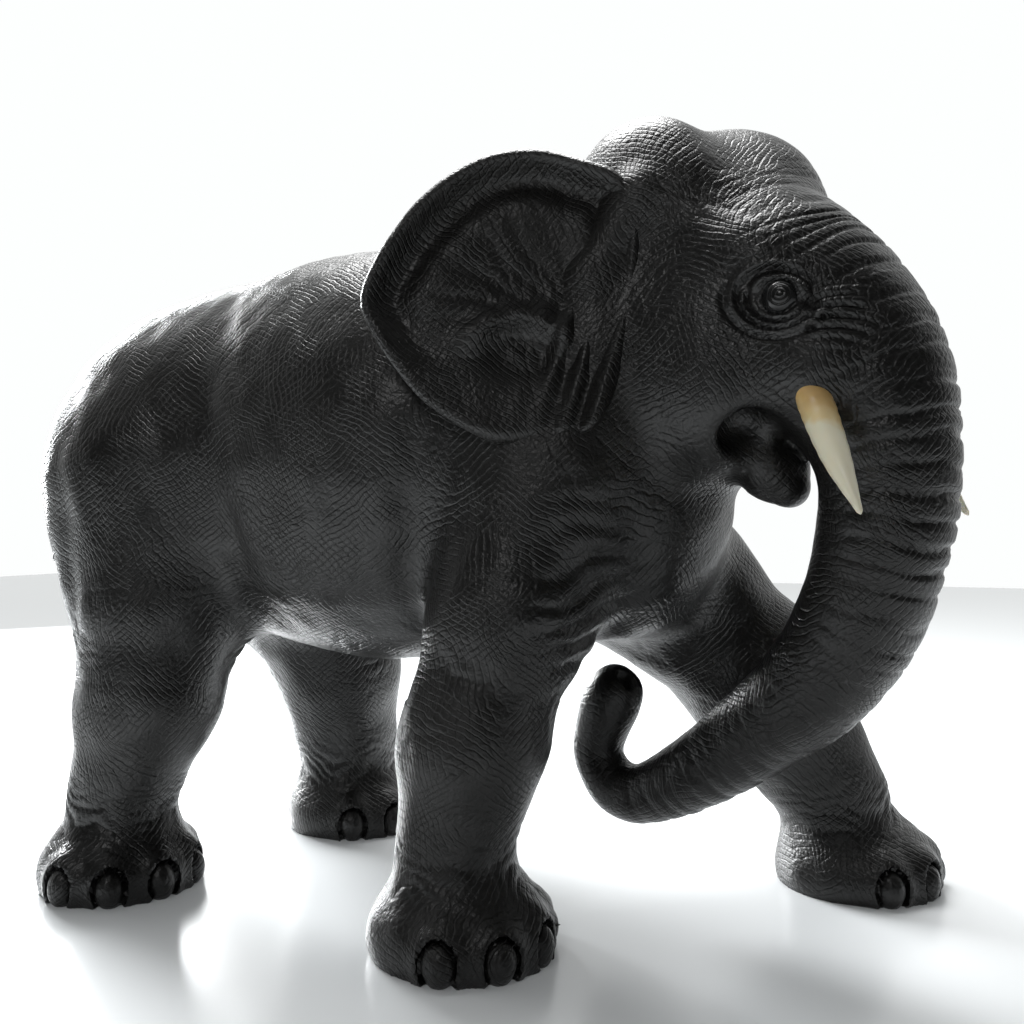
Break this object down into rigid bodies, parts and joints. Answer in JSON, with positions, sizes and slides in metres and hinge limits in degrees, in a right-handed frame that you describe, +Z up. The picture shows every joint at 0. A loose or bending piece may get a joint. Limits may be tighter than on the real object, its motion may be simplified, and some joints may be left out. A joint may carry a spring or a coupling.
{
  "type": "carved elephant figurine",
  "caption": "Striding elephant figurine joined from dark carved blocks, head turned to its right, trunk curled under, pale tusks, standing on four flat soles.",
  "frame": {"origin": "on the ground under the middle of the figure's bounding box", "axes": "+X forward, the way the elephant walks; +Y to its left; +Z up"},
  "size_m": [0.542, 0.2927, 0.406],
  "materials": {
    "black_wood": "satin",
    "eye_black": "gloss",
    "ivory": "satin",
    "dowel_wood": "matte"
  },
  "bodies": {
    "root": {"torso": "black_wood", "head": "black_wood", "trunk": "black_wood", "ear_left": "black_wood", "ear_right": "black_wood", "foreleg_left": "black_wood", "foreleg_right": "black_wood", "hindleg_left": "black_wood", "hindleg_right": "black_wood", "tail": "black_wood", "eye_left": "eye_black", "eye_right": "eye_black", "tusk_left": "ivory", "tusk_right": "ivory", "neck_dowels": "dowel_wood", "trunk_dowel": "dowel_wood", "tail_dowel": "dowel_wood", "foreleg_left_dowel": "dowel_wood", "foreleg_right_dowel": "dowel_wood", "hindleg_left_dowel": "dowel_wood", "hindleg_right_dowel": "dowel_wood", "ear_dowels_left": "dowel_wood", "ear_dowels_right": "dowel_wood"}
  },
  "joints": []
}
